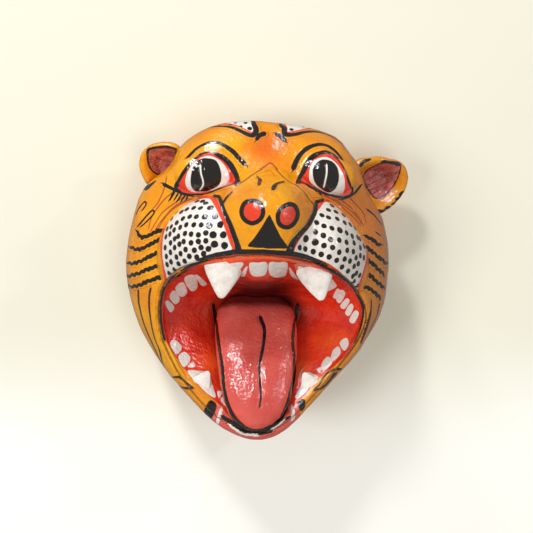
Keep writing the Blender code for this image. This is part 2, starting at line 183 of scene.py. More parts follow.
viewer = bpy.data.cameras.new("viewer")
viewer.sensor_width = 36
viewer.lens = 66.2
viewer_stand = bpy.data.objects.new("viewer", viewer)
bpy.context.scene.collection.objects.link(viewer_stand)
eye_point = FACE_MIDDLE + VIEW_DISTANCE * Vector((math.sin(VIEW_YAW), -math.cos(VIEW_YAW), 0))
viewer_stand.location = eye_point
viewer_stand.rotation_euler = (FACE_MIDDLE - eye_point).to_track_quat("-Z", "Y").to_euler()
bpy.context.scene.camera = viewer_stand

# ---------------------------------------------------------------- head
# The moulded shell of forehead, cheeks and jaw: paper pulp pressed over a form, sanded, painted
# orange by hand and lacquered. Its inside is left as bare brown paper. The painter drew every
# mark on a flat sheet in front of the face, in millimetres, and carried it to the mask.
MM = 0.001
# In millimetres: the fade at a mark's edge, the gap past which a shape isn't measured, the half
# width kept where there is no stroke, and the spacing of the places along a mark's line
SOFT_EDGE = 0.16
FAR = 7.0
NO_STROKE = -2.0
LINE_STEP = 0.4
# Strokes are worked out this many grains of the skin past their edges
GRAINS_PAST = 1.6


def fine_copy(node, name, fineness, rounds, swell):
    """A copy of a solid with a grain of so many millimetres, its edges sanded in rounds and its
    gaps closed by a swell of paint."""
    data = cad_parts[node].data.copy()
    data.materials.clear()
    piece = bpy.data.objects.new(name, data)
    bpy.context.scene.collection.objects.link(piece)
    mesh = bmesh.new()
    mesh.from_mesh(data)
    bmesh.ops.remove_doubles(mesh, verts=mesh.verts, dist=1e-6)
    mesh.to_mesh(data)
    mesh.free()
    bpy.ops.object.select_all(action="DESELECT")
    bpy.context.view_layer.objects.active = piece
    piece.select_set(True)
    grain = piece.modifiers.new("grain", "REMESH")
    grain.mode = "VOXEL"
    grain.voxel_size = fineness * MM
    bpy.ops.object.modifier_apply(modifier="grain")
    sanding = piece.modifiers.new("sanding", "SMOOTH")
    sanding.factor = 0.5
    sanding.iterations = rounds
    bpy.ops.object.modifier_apply(modifier="sanding")
    bpy.ops.object.shade_smooth()
    move_out(piece, np.full(len(piece.data.vertices), swell))
    return piece


def per_vertex(rows, key):
    flat = np.empty(len(rows) * 3, np.float32)
    rows.foreach_get(key, flat)
    return flat.reshape(-1, 3).astype(float)


def places(piece):
    return per_vertex(piece.data.vertices, "co")


def facings(piece):
    return per_vertex(piece.data.vertex_normals, "vector")


def put_back(piece, where):
    """Moves the vertices to the places worked out for them."""
    piece.data.vertices.foreach_set("co", where.astype(np.float32).ravel())
    piece.data.update()


def move_out(piece, millimetres):
    """Moves each vertex out along its normal, or in where the distance is less than nothing."""
    put_back(piece, places(piece) + facings(piece) * millimetres[:, None] * MM)


def from_wall(piece):
    """How far each vertex stands out from the wall, in millimetres."""
    return (WALL_Y - places(piece)[:, 1]) / MM


def lumps(piece, size, seed):
    """Hand-made unevenness between -1 and 1, in lumps of a size in millimetres."""
    scale = 1000 / size
    shift = Vector((seed, seed * 1.7, -seed))
    return np.array([noise.noise(v.co * scale + shift) for v in piece.data.vertices])


SIGHT = np.array(FACE_MIDDLE - eye_point) / VIEW_DISTANCE
ACROSS = np.array((math.cos(VIEW_YAW), math.sin(VIEW_YAW), 0))


def on_sheet(piece):
    """Where each vertex lies on the painter's sheet, in millimetres from the face's middle."""
    ray = places(piece) - np.array(eye_point)
    ahead = ray @ SIGHT
    return np.column_stack([ray @ ACROSS, ray[:, 2]]) / ahead[:, None] * VIEW_DISTANCE * 1000


def brushed(points, closed=False):
    """Closely spaced places on the smooth line through a mark's points."""
    knots = np.array(points, float)
    if not closed:
        knots = np.vstack([2 * knots[0] - knots[1], knots, 2 * knots[-1] - knots[-2]])
        spans = range(1, len(knots) - 2)
    else:
        spans = range(len(knots))
    line = []
    for i in spans:
        a, b, c, d = (knots[(i + k) % len(knots)] for k in (-1, 0, 1, 2))
        count = max(2, int(np.linalg.norm(c - b) / LINE_STEP))
        for t in np.arange(count) / count:
            line.append(0.5 * (
                2 * b + (c - a) * t + (2 * a - 5 * b + 4 * c - d) * t ** 2
                + (3 * b - a - 3 * c + d) * t ** 3
            ))
    if not closed:
        line.append(knots[-2])
    return np.array(line)


def nearest(sheet, line):
    """For each place on the sheet, the gap to a line and which of the line's places is nearest."""
    gap, at = np.empty(len(sheet)), np.empty(len(sheet), int)
    batch = 4000
    for first in range(0, len(sheet), batch):
        some = slice(first, first + batch)
        apart = ((sheet[some, None] - line[None]) ** 2).sum(axis=2)
        at[some] = apart.argmin(axis=1)
        gap[some] = np.sqrt(apart.min(axis=1))
    return gap, at


def close_by(sheet, line, reach):
    """Which vertices lie within reach of the box round a line."""
    low, high = line.min(axis=0) - reach, line.max(axis=0) + reach
    return np.flatnonzero(((sheet > low) & (sheet < high)).all(axis=1))


def shape_depth(sheet, outlines):
    """Distance to the edge of the nearest painted shape, less than nothing inside it."""
    depth = np.full(len(sheet), FAR)
    for outline in outlines:
        line = brushed(outline, closed=True)
        near = close_by(sheet, line, FAR)
        gap, _ = nearest(sheet[near], line)
        u, v = sheet[near].T
        inside = np.zeros(len(near), bool)
        for a, b in zip(line, np.roll(line, -1, axis=0)):
            crosses = (a[1] > v) != (b[1] > v)
            rise = b[1] - a[1] if b[1] != a[1] else 1.0
            inside ^= crosses & (u < (b[0] - a[0]) * (v - a[1]) / rise + a[0])
        depth[near] = np.minimum(depth[near], np.where(inside, -gap, gap))
    return depth


def slope(piece):
    """How steeply the skin leans away from the sheet, across it and up it."""
    normal = facings(piece)
    edge_on = 0.28
    facing = np.maximum(np.abs(normal @ SIGHT), edge_on)
    return np.column_stack([normal @ ACROSS, normal[:, 2]]) / facing[:, None]


def stroke_sides(piece, sheet, strokes, reach):
    """For each vertex the side offset from the nearest stroke and that stroke's half width,
    both measured on the skin. Far from any stroke the width is less than nothing."""
    lean = slope(piece)
    side, half = np.full(len(sheet), FAR + 2), np.full(len(sheet), NO_STROKE)
    best = np.full(len(sheet), -reach)
    for start, end, points in strokes:
        line = brushed(points)
        widths = np.linspace(start, end, len(line))
        along = np.gradient(line, axis=0)
        along /= np.linalg.norm(along, axis=1)[:, None]
        near = close_by(sheet, line, max(start, end) + reach)
        _, at = nearest(sheet[near], line)
        off = sheet[near] - line[at]
        square = np.column_stack([-along[at, 1], along[at, 0]])
        offset = (off * square).sum(axis=1)
        ended = (at == 0) | (at == len(line) - 1)
        offset = np.where(ended, np.copysign(np.linalg.norm(off, axis=1), offset), offset)
        offset *= np.sqrt(1 + (lean[near] * square).sum(axis=1) ** 2)
        margin = widths[at] - np.abs(offset)
        won = margin > best[near]
        best[near[won]] = margin[won]
        side[near[won]] = offset[won]
        half[near[won]] = widths[at][won]
    return side, half


def dot_depth(piece, sheet, dots):
    """Distance to the edge of the nearest dot, measured on the skin."""
    lean = slope(piece)
    depth = np.full(len(sheet), FAR)
    box_reach = 6
    for u, v, radius in dots:
        off = sheet - (u, v)
        near = np.flatnonzero((np.abs(off) < box_reach).all(axis=1))
        off = off[near]
        gap = np.sqrt((off ** 2).sum(axis=1) + (lean[near] * off).sum(axis=1) ** 2)
        depth[near] = np.minimum(depth[near], gap - radius)
    return depth


def band(distance, middle, width):
    """1 at one distance or level, fading to 0 on both sides of it."""
    return np.exp(-((distance - middle) / width) ** 2)


def spot(sheet, across, up, wide, tall, power=2):
    """1 at one place on the sheet, fading to 0 all round it."""
    u, v = sheet.T
    return np.exp(-((u - across) / wide) ** power - ((v - up) / tall) ** power)


def keep(piece, name, values):
    """Stores a value for each vertex, for the paint to read."""
    stored = piece.data.attributes.new(name, "FLOAT", "POINT")
    stored.data.foreach_set("value", np.asarray(values, np.float32))


def keep_strokes(piece, sheet, name, strokes, reach, shown=1.0):
    """Stores strokes in as few layers as leave room between those that share one, and gives
    the layers' names."""
    layers = []
    for stroke in strokes:
        line = brushed(stroke[2])
        room_needed = 2 * (reach + max(stroke[:2])) + 0.5
        for layer in layers:
            if all(nearest(line, brushed(other[2]))[0].min() > room_needed for other in layer):
                layer.append(stroke)
                break
        else:
            layers.append([stroke])
    names = []
    for number, layer in enumerate(layers):
        names.append(f"{name}_{number}")
        side, half = stroke_sides(piece, sheet, layer, reach)
        keep(piece, names[-1] + "_side", side)
        keep(piece, names[-1] + "_half", np.where(shown > 0.5, half, NO_STROKE))
    return names


def outer_skin(piece, core, sign=1):
    """1 where the skin faces away from a place inside the form, and 0 on the hollow side."""
    away = places(piece) - np.array(core)
    return ((facings(piece) * away).sum(axis=1) * sign > 0).astype(float)


def colour(red, green, blue):
    """A colour from its 0 to 255 shares as seen."""
    return tuple(
        (c / 12.92 if c <= 0.04045 else ((c + 0.055) / 1.055) ** 2.4)
        for c in (red / 255, green / 255, blue / 255)
    ) + (1.0,)


BLACK = colour(22, 18, 17)
CREAM = colour(232, 224, 214)
RED = colour(236, 60, 32)
DEEP_RED = colour(206, 34, 20)
ORANGE = colour(238, 166, 0)
DEEP_ORANGE = colour(222, 130, 2)
FUR_BROWN = colour(168, 74, 34)
BARE_PAPER = colour(150, 118, 84)
GRIME = colour(120, 70, 40)


def bump(height):
    """The skin's fine relief, from its height in millimetres."""
    return height.node("Bump", inputs={"Strength": 1.0, "Distance": MM, "Height": height})


def lacquered(name, ground, layers, outside=None, gloss=0.13, uneven=1.0):
    """Hand-laid paint under a gloss lacquer, over bare paper where `outside` names the painted
    side. `ground` is a pair of colours that drift into each other. Each layer is a kind, the
    values that it reads, a colour or a pair of mottled colours, and how ragged its edge is."""
    made, shader, start = new_finish(name)
    drift = start.grain(38, 3, 0.6)
    paint = ((drift - 0.5) * 3.2 + 0.42).held().blend(*ground)
    streak = start.grain(5, 3, 0.6, (1, 1, 0.35))
    paint = ((streak - 0.5) * 0.9 + 0.16).held().blend(paint, ground[1])
    ragged = (start.grain(1.3, 2) - 0.5) * 0.9 + (start.grain(4.5, 2) - 0.5) * 0.9
    mottled = ((start.grain(12, 3, 0.6) - 0.5) * 2.8 + 0.45).held()
    grime = (start.grain(3.2, 6, 0.75) * 3.4 - 2.25).held()
    paint = (grime * 0.22).blend(paint, GRIME)
    thickness = 0.0
    for kind, names, tint, rough_edge in layers:
        if isinstance(tint[0], tuple):
            tint = mottled.blend(*tint)
        for source in names:
            if kind == "shape":
                cover = (0.5 - (start.read(source) + ragged * rough_edge) * (1 / SOFT_EDGE)).held()
            elif kind == "shade":
                cover = (start.read(source) * (1 + ragged * rough_edge * 2.5)).held()
            else:
                side = abs(start.read(source + "_side"))
                half = start.read(source + "_half") + ragged * rough_edge
                cover = ((half - side) * (1 / SOFT_EDGE) + 0.5).held()
            paint = cover.blend(paint, tint)
            if kind != "shade":
                thickness = thickness + cover * 0.06
    paint = (grime * 0.06).blend(paint, GRIME)
    pits = start.node("TexVoronoi", {"feature": "F1"}, {
        "Vector": start.node("TexCoord", out="Object"), "Scale": 160.0})
    pit = ((0.055 - pits) * 40).held()
    paint = (pit * 0.5).blend(paint, colour(92, 60, 40))
    dabs = start.grain(2.2, 2) * 0.56 + start.grain(6.5, 2) * 0.50 + start.grain(0.6, 2) * 0.012
    height = dabs * uneven + thickness - pit * 0.1
    roughness = gloss + grime * 0.3 + (start.grain(14, 4, 0.6) - 0.5) * 0.14
    if outside:
        skin = start.read(outside)
        fibre = start.grain(1.2, 6, 0.7, (1, 1, 0.4))
        paper = ((fibre - 0.35) * 2.2).held().blend(colour(112, 84, 58), BARE_PAPER)
        lap = (1 - abs(start.grain(26, 1, 0.4, (1, 1, 0.45)) - 0.5) * 26).held()
        paper = (lap * 0.16).blend(paper, colour(96, 70, 48))
        paper = ((start.grain(30, 3) - 0.5) * 2.4).held().blend(paper, colour(176, 146, 108))
        paint = skin.blend(paper, paint)
        roughness = skin * roughness + (1 - skin) * 0.85
        height = skin * height + (1 - skin) * (fibre * 0.35 + lap * 0.2)
    feed(shader, start, base_color=paint, roughness=roughness.held(), normal=bump(height))
    shader.inputs["IOR"].default_value = 1.8
    return made


# Marks round the eyes, which lie on the head, the snout and the eyes alike
EYE_BLACK = [
    [(-19.5, 62), (-22.5, 71.5), (-27, 78), (-34, 83), (-42.5, 84.5), (-50.5, 82), (-57, 77),
     (-62.5, 70), (-66.5, 62.5), (-67.5, 58), (-62, 53.5), (-54, 52.5), (-44, 53.5), (-34, 57),
     (-26, 60)],
    [(21.5, 61.5), (25, 69.5), (28.5, 77), (32.5, 82), (38.5, 84.5), (44.5, 85), (50.5, 82), (55,
     77), (58.5, 71), (61.5, 63.5), (63.5, 56), (61, 51.5), (56, 50.5), (49.5, 51.5), (42, 53.5),
     (34, 57), (27, 61)],
]
EYE_RED = [
    [(-23, 63.5), (-26, 71), (-31, 77.5), (-37.5, 82), (-43, 83.5), (-49.5, 81.5), (-55.5, 76),
     (-60.5, 69), (-64.5, 62.5), (-66, 58.5), (-61, 54.5), (-52, 53.5), (-42.5, 54.5), (-34, 57.5),
     (-27, 60)],
    [(25, 63.5), (28.5, 69.5), (32, 76), (36.5, 81), (41, 83), (46, 83), (51, 80.5), (55, 76),
     (58.5, 69.5), (60.5, 62.5), (62.5, 56.5), (60.5, 52.5), (55.5, 52), (49.5, 53), (43, 54.5),
     (36.5, 57.5), (29.5, 61)],
]
EYE_WHITE = [
    [(-27.5, 66), (-29.5, 72.5), (-34, 78), (-39, 81), (-43, 82), (-48, 80.5), (-54, 76), (-58,
     70.5), (-60, 63.5), (-58.5, 57.5), (-53.5, 55), (-45.5, 55.5), (-38, 57), (-31.5, 60), (-28,
     62.5)],
    [(31.5, 68.5), (33, 75), (36.5, 79), (41.5, 81), (46, 80.5), (50.5, 77.5), (54.5, 72.5), (57.5,
     66), (58, 59.5), (56.5, 54.5), (53, 53.5), (47, 54), (41.5, 56), (35.5, 59.5), (32, 63.5)],
]
EYE_LAYERS = [
    ("shape", ["eye_black"], BLACK, 0.25),
    ("shape", ["eye_red"], RED, 0.2),
    ("shape", ["eye_white"], CREAM, 0.2),
]


def keep_eyes(piece, sheet):
    """Stores the rings round the eyes, which stop a little way behind them."""
    behind = places(piece)[:, 1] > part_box("eye_right")[1].y + 12 * MM
    for name, outlines, inset in (
        ("eye_black", EYE_BLACK, -0.2), ("eye_red", EYE_RED, 0.4), ("eye_white", EYE_WHITE, 0.0)
    ):
        keep(piece, name, np.where(behind, FAR, shape_depth(sheet, outlines) + inset))


BROW_PATCHES = [
    [(-42.5, 104.5), (-34, 105), (-26.5, 104.5), (-19.5, 102.5), (-13.5, 99.5), (-10, 98.5), (-9,
     101.5), (-10.5, 106.5), (-16, 117), (-27.5, 120.5), (-39, 114)],
    [(15, 98.5), (14.5, 102), (13, 107), (18, 118.5), (31.5, 117), (38, 107), (39.5, 101.5), (34.5,
     101.5), (29.5, 101), (23, 99.5)],
]
UPPER_LIP = [
    (-70.5, -10), (-62, -4.5), (-54, 1.5), (-45.5, 5.5), (-37.5, 8), (-29, 9.5), (-21, 10.5), (-9.5,
    10.5), (-1.5, 10.5), (5, 10), (15.5, 9.5), (24, 8), (32, 5.5), (40.5, 2), (48, -2.5), (54.5,
    -8), (60.5, -11.5), (65.5, -17.5),
]
MOUTH_EDGE = [
    (-75, -14), (-77, -19), (-78.5, -27.5), (-78.5, -35.5), (-77.5, -45.5), (-75.5, -54), (-71,
    -60.5), (-67, -67), (-62, -74.5), (-57, -80), (-50.5, -88.5), (-43, -95), (-36.5, -101), (-32,
    -106), (-26, -112.5), (-17.5, -118.5), (-8.5, -121.5), (-3.5, -121.5), (1.5, -120.5), (9,
    -115.5), (15, -109), (21.5, -101.5), (24, -99), (29, -94.5), (34.5, -87.5), (39.5, -82), (46,
    -77), (53, -71), (59.5, -65.5), (65, -56.5), (69.5, -44), (71.5, -30),
] + UPPER_LIP[::-1]
LIP_LINE = [MOUTH_EDGE[0]] + UPPER_LIP + [(69.5, -24), (71.5, -30)]
CHIN_PINK = [
    (-37, -102.5), (-32.5, -106), (-26, -112.5), (-17.5, -119), (-8.5, -122), (-3.5, -121.5), (1.5,
    -120.5), (9, -115.5), (15, -109), (21.5, -101.5), (23.5, -100), (25, -107), (17.5, -143), (-3.5,
    -151.5), (-17.5, -151.5), (-50.5, -126.5), (-40.5, -112.5),
]
CHIN_SQUARES = [
    [(-42, -99), (-37, -102.5), (-40.5, -112), (-46, -107.5)],
    [(23.5, -100), (28, -98), (28.5, -103.5), (25, -107)],
]
HEAD_STROKES = [
    (1.1, 1.9, [
        (-65, 70.5), (-60.5, 77.5), (-54.5, 84), (-49, 88.5), (-42.5, 91), (-35.5, 91), (-30, 88.5),
        (-24, 84), (-20, 79.5), (-16.5, 76),
    ]),
    (2.0, 1.0, [
        (20, 73), (22.5, 79), (27, 85), (33, 88.5), (39.5, 90), (46, 88.5), (52, 83.5), (57, 76.5),
        (61, 69), (63.5, 61.5),
    ]),
    (0.8, 2.3, [
        (-50.5, 99.5), (-43, 102.5), (-34, 103.5), (-27, 103), (-21, 101), (-15, 98), (-10.5, 97),
        (-8, 99), (-8, 102), (-9.5, 105.5),
    ]),
    (2.3, 0.8, [
        (10.5, 104.5), (13, 102), (13.5, 98), (16.5, 97), (21.5, 97.5), (28, 99), (35.5, 99.5), (43,
        98), (49.5, 95), (55.5, 90.5),
    ]),
    (1.5, 2.2, [(-7, 94.5), (-5, 97), (-2, 98)]),
    (2.1, 1.8, [(8, 97.5), (10.5, 96), (13.5, 93)]),
    (1.4, 1.0, [(-75.5, 60.5), (-69.5, 57.5), (-62, 54), (-55.5, 52.5)]),
    (0.8, 1.8, [(-71.5, 49), (-68, 55.5), (-65.5, 61.5)]),
    (1.5, 0.9, [(56, 50.5), (61, 52), (65.5, 55), (69.5, 60)]),
]
JAW_STROKES = [
    (1.5, 1.2, MOUTH_EDGE[:6]),
    (1.6, 0.8, [(71.5, -30), (71, -35.5), (69.5, -44), (67, -52), (65, -56.5)]),
    (1.9, 2.2, [
        (-32, -111.5), (-26, -115.5), (-20, -119), (-14.5, -121.5), (-7, -122.5), (2.5, -121),
    ]),
    (2.0, 1.1, [(-3.5, -122.5), (1.5, -120.5), (8, -116.5), (14, -113), (17, -111.5)]),
    (0.8, 1.1, [(-59, -95.5), (-53.5, -99.5)]),
]
WHISKER_STROKES = [
    [(-95.5, 26), (-92.5, 21.5), (-88.5, 22.5), (-84.5, 24), (-81, 26), (-77.5, 27)],
    [(-99.5, 14), (-94.5, 12.5), (-89.5, 14.5), (-84.5, 17), (-78.5, 20.5)],
    [(-102, 2.5), (-97, 2.5), (-92, 4.5), (-87, 7), (-79, 11)],
    [(-103.5, -7.5), (-97.5, -6), (-92, -4), (-86, -1.5), (-79, 1)],
    [(-102, -14.5), (-96, -14.5), (-90, -12), (-83.5, -9.5), (-76.5, -7.5)],
    [(73.5, 22.5), (78, 20), (83.5, 15.5)],
    [(74, 14.5), (79.5, 9.5), (88, 2.5)],
    [(74.5, 5.5), (80, 0.5), (87, -7)],
    [(71.5, -4), (77.5, -7.5), (82.5, -12.5), (87, -16)],
    [(70, -14), (75, -16), (79.5, -19), (84.5, -24.5)],
]
FINE_STROKES = [
    [(-96, 38), (-94, 42.5), (-90, 47.5), (-88.5, 46), (-91.5, 41.5)],
    [(-95, 29.5), (-92, 33), (-85.5, 40.5), (-83, 41), (-83.5, 38.5), (-88.5, 33), (-92.5, 29.5)],
    [(-65.5, 53.5), (-68, 49.5)],
    [(-63, 53), (-66, 48)],
    [(-60, 52.5), (-63, 48.5)],
    [(-57.5, 53), (-59.5, 49.5)],
    [(27.5, 61), (27, 58)],
    [(30.5, 59), (30.5, 56)],
    [(33.5, 57.5), (33.5, 54.5)],
    [(36.5, 56.5), (36.5, 54)],
    [(39, 55), (40, 53)],
    [(74.5, 42), (79.5, 38), (85.5, 31)],
    [(81.5, 25), (84, 23)],
]
CHEEK_STROKES = [
    [(-85.5, -16.5), (-86.5, -23), (-86, -34), (-83.5, -49), (-79.5, -60.5), (-75.5, -73.5),
     (-71.5, -80)],
    [(-94.5, -17.5), (-94, -27.5), (-91, -40), (-87, -50.5), (-81, -63.5), (-75, -76)],
    [(77, -25), (76, -35.5), (73.5, -45.5), (69, -56.5)],
    [(83, -27.5), (80.5, -37.5), (75, -49)],
    [(-69, -81.5), (-64, -82), (-59.5, -86), (-54.5, -89.5)],
    [(-69, -83), (-64, -88), (-59, -90), (-54.5, -90)],
    [(54.5, -75.5), (48, -77), (43, -81), (39, -87), (35.5, -91)],
    [(51, -78.5), (46, -85), (41.5, -89.5), (35.5, -91.5)],
]
FUR_STROKES = [
    [(-62, 51), (-69, 46), (-77, 39.5), (-82, 32), (-85.5, 26)],
    [(-58, 50), (-67, 45), (-73.5, 38.5), (-79.5, 31), (-82, 27)],
    [(-73.5, 66), (-76.5, 55), (-81, 46), (-84.5, 42)],
    [(-69.5, 54.5), (-75.5, 49.5), (-81, 42.5), (-85, 35.5), (-87, 28.5)],
    [(-54.5, 50.5), (-63.5, 46), (-71, 40.5), (-76.5, 33.5), (-80, 28)],
    [(-50.5, 51.5), (-40.5, 53), (-31, 55)],
    [(-47, 50.5), (-37.5, 52.5), (-28.5, 54.5)],
    [(43, 52.5), (50.5, 48.5), (58, 42), (65, 35.5), (69.5, 30.5)],
    [(54.5, 49.5), (62, 43.5), (68.5, 36), (71.5, 30.5)],
    [(48, 52), (56, 48.5), (62.5, 43.5)],
    [(50.5, 49.5), (58.5, 44), (66, 37.5), (70.5, 31.5)],
    [(58, 54.5), (65, 47), (71.5, 39.5), (73.5, 33)],
    [(32, 51.5), (39.5, 49.5), (46, 49)],
]
CHIN_WHITES = [
    [(-33.5, -106), (-35, -111), (-36.5, -117)],
    [(19, -104.5), (20, -108.5), (19, -113)],
]
CHIN_SPECKS = [
    [(-27, -117.5), (-21.5, -121), (-16, -123.5), (-7, -124.5)],
    [(3.5, -120.5), (8, -118), (13, -113.5)],
]
# How far from the wall the paint of the chin and lips stops, in millimetres
CHIN_PAINT_BACK = 52
EAR_SMUDGE = [(-91.5, 62.5), (-88.5, 60), (-81, 63.5), (-85.5, 58.5), (-89, 56), (-91.5, 58)]


def wavy(points, swing=0.55, wave=3.6):
    """A line drawn with a shaking brush."""
    line = brushed(points)[::3]
    along = np.gradient(line, axis=0)
    along /= np.linalg.norm(along, axis=1)[:, None]
    run = np.append(0, np.cumsum(np.linalg.norm(np.diff(line, axis=0), axis=1)))
    sway = swing * np.sin(run * 2 * math.pi / wave + 0.6 * np.sin(run))
    return line + np.column_stack([-along[:, 1], along[:, 0]]) * sway[:, None]


def jaw_layers(piece, sheet, reach, lining=False):
    """Stores the marks of the jaw and chin, which run from the head onto the rim of the mouth,
    and gives their layers of paint. Only the mouth's lining is red right to the back."""
    far_back = CHIN_PAINT_BACK - from_wall(piece)
    mouth_red = shape_depth(sheet, [MOUTH_EDGE])
    keep(piece, "mouth_red", mouth_red if lining else np.maximum(mouth_red, far_back))
    keep(piece, "chin_pink", np.maximum(shape_depth(sheet, [CHIN_PINK]), far_back))
    keep(piece, "chin_squares", shape_depth(sheet, CHIN_SQUARES + [EAR_SMUDGE]))

    def marks(name, strokes):
        return keep_strokes(piece, sheet, name, strokes, reach)

    return [
        ("shape", ["chin_pink"], colour(224, 92, 80), 0.2),
        ("shape", ["mouth_red"], (RED, DEEP_RED), 0.2),
        ("shape", ["chin_squares"], BLACK, 0.3),
        ("stroke", marks("chin_white", [(1.2, 1.4, s) for s in CHIN_WHITES]), CREAM, 0.3),
        ("stroke", marks("cheek", [(1.0, 0.8, s) for s in CHEEK_STROKES]), colour(58, 38, 24), 0.35),
        ("stroke", marks("jaw", JAW_STROKES), BLACK, 0.4),
        ("stroke", marks("speck", [(0.8, 0.8, s) for s in CHIN_SPECKS]), CREAM, 1.6),
    ]


FOREHEAD_CREASE = [
    (-24.5, 59), (-17.5, 63), (-9.5, 69), (-1, 74), (2.5, 76.5), (6, 74), (11.5, 67.5), (18, 62.5),
    (24, 59), (29.5, 54), (33, 49.5),
]
HEAD_GRAIN = 1.36
head = fine_copy("head_shell", "painted_head", HEAD_GRAIN, 7, 0.30)
HEAD_LEVELS = np.linspace(-0.19, 0.035, 46)
head_x, _, head_z = places(head).T
HALF_WIDTHS = [np.abs(head_x[np.abs(head_z - level) < 4 * MM]).max() for level in HEAD_LEVELS]


def tuck_temples(piece, share):
    """Draws the sides of the head in above the cheeks, where the ears join it."""
    where = places(piece)
    x, _, z = where.T
    t = np.clip((np.abs(x) / np.interp(z, HEAD_LEVELS, HALF_WIDTHS) - 0.74) / 0.22, 0, 1)
    pull = np.where(
        x < 0, 8.0 * band(z, 0.004, 0.011),
        9.5 * band(z, -0.013, 0.0145) + 4.5 * band(z, 0.013, 0.010))
    where[:, 0] -= np.sign(x) * t * t * (3 - 2 * t) * pull * share * MM
    put_back(piece, where)


skin = outer_skin(head, (-0.005, WALL_Y + 0.02, -0.08))
tuck_temples(head, 1.0)
sheet = on_sheet(head)
lid = shape_depth(sheet, EYE_BLACK)
lip = shape_depth(sheet, [MOUTH_EDGE])
move_out(head, skin * (
    0.55 * lumps(head, 30, 3.1) + 0.22 * lumps(head, 9, 7.7)
    + 0.9 * band(lid, -0.6, 1.7) + 1.1 * band(lip, 3.5, 3.5)
))
keep(head, "skin", skin)
patch = shape_depth(sheet, BROW_PATCHES)
keep(head, "patches", patch)
keep(head, "patches_in", patch + 1.0)
keep_eyes(head, sheet)
u, v = sheet.T
keep(head, "warm", 0.75 * spot(sheet, -1, 88, 13, 13) + 0.25 * spot(sheet, 55, 40, 26, 18)
     + 0.35 * np.clip((u - 30) / 50, 0, 1))
# Painted shade: the head's right side, away from the key light, is dulled towards brown
keep(head, "painted_right_shade", 0.5 * np.clip((u - 52) / 26, 0, 1))
keep(head, "patch_dots", dot_depth(head, sheet, [
    (-19, 103.5, 1.3), (-12.5, 102, 1.9), (-27, 105, 1.2), (18.5, 101, 1.7), (27, 103, 1.2),
    (-35, 104, 1.1), (-23, 106, 1.2), (-15.5, 106, 1.5), (-31, 107, 1.2), (-10, 107, 1.6),
    (22.5, 105, 1.4), (15, 107, 1.5), (30, 107, 1.2), (36, 102.5, 1.1)]))
reach = HEAD_GRAIN * GRAINS_PAST
fold_marks = keep_strokes(head, sheet, "fold", [(0.7, 0.5, FOREHEAD_CREASE)], reach)
black_marks = keep_strokes(head, sheet, "mark", HEAD_STROKES, reach)
whiskers = keep_strokes(
    head, sheet, "whisker", [(1.3, 1.5, wavy(s)) for s in WHISKER_STROKES], reach)
fine_marks = keep_strokes(head, sheet, "fine", [(0.85, 0.65, s) for s in FINE_STROKES], reach)
fur_marks = keep_strokes(head, sheet, "fur", [(0.65, 0.45, s) for s in FUR_STROKES], reach)
head.data.materials.append(lacquered("orange_lacquer_head", (ORANGE, DEEP_ORANGE), [
    ("shade", ["warm"], colour(222, 78, 14), 0.15),
    # Painted shade on the head's right side
    ("shade", ["painted_right_shade"], colour(186, 122, 66), 0.3),
    ("stroke", fur_marks + fold_marks, FUR_BROWN, 0.3),
    ("shape", ["patches"], RED, 0.2),
    ("shape", ["patches_in"], CREAM, 0.2),
    ("shape", ["patch_dots"], BLACK, 0.3),
    *jaw_layers(head, sheet, reach),
    ("stroke", whiskers, BLACK, 0.9),
    ("stroke", fine_marks, colour(44, 30, 22), 0.3),
    *EYE_LAYERS,
    ("stroke", black_marks, BLACK, 0.4),
], outside="skin"))
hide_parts("head_shell")
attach(head, "root")

# ---------------------------------------------------------------- snout
# The nose and the two whisker pads, moulded as one piece and glued over the head's front. The
# pads are white with black dots, the nose orange, and the upper lip is edged in thick black.
PAD_WHITE = [
    [(-43, 50.5), (-40.5, 48.5), (-37, 42), (-33, 33.5), (-30, 25.5), (-27, 17), (-25.5, 12), (-34,
     10.5), (-42.5, 8), (-50.5, 4), (-59, -1), (-67, -7), (-72, -10.5), (-74.5, -5), (-76.5, 4.5),
     (-77, 13), (-76.5, 21.5), (-74.5, 28.5), (-71, 35.5), (-67, 40.5), (-62, 44.5), (-55.5, 48),
     (-49, 50)],
    [(43, 47.5), (48, 46.5), (54.5, 42.5), (61, 38), (66, 33), (70, 26), (72.5, 19.5), (74, 11.5),
     (73, 3), (71, -5), (68.5, -12), (66.5, -18), (62.5, -13), (58, -7), (51, -1), (43, 4), (34, 7),
     (25.5, 9), (20, 10), (21.5, 14), (25.5, 21), (30.5, 27), (34.5, 33), (37, 39.5), (40.5, 44.5)],
]
PAD_RED = [
    [(-45, 52), (-38, 51), (-34, 43.5), (-30, 33.5), (-26.5, 24.5), (-24.5, 17), (-23.5, 11.5),
     (-34, 9.5), (-42.5, 7), (-50.5, 3), (-59, -2), (-67, -8), (-73.5, -12), (-76, -6), (-77.5,
     4.5), (-78.5, 13), (-77.5, 21.5), (-75.5, 29.5), (-72, 36), (-67.5, 41), (-62.5, 45), (-56,
     49), (-49.5, 51)],
    [(41.5, 49), (48.5, 48), (55.5, 44), (62.5, 38.5), (67.5, 33), (71.5, 26.5), (74, 19.5), (75,
     11.5), (74.5, 3), (72, -6), (70, -12.5), (67, -19.5), (62, -13.5), (57, -8), (50.5, -2), (42,
     2.5), (33, 6), (25, 8), (18, 10), (20, 14.5), (24, 21.5), (29, 27), (33, 32), (35.5, 38), (38,
     44.5)],
]
NOSTRILS = [
    [(-10.5, 47.5), (-5.5, 46), (-3.5, 40.5), (-5.5, 35.5), (-10.5, 33), (-15.5, 35.5), (-17.5,
     40.5), (-15.5, 46)],
    [(17, 45), (20.5, 43.5), (22, 38.5), (20, 33), (15.5, 30), (10.5, 32), (9.5, 38), (12, 42.5)],
]
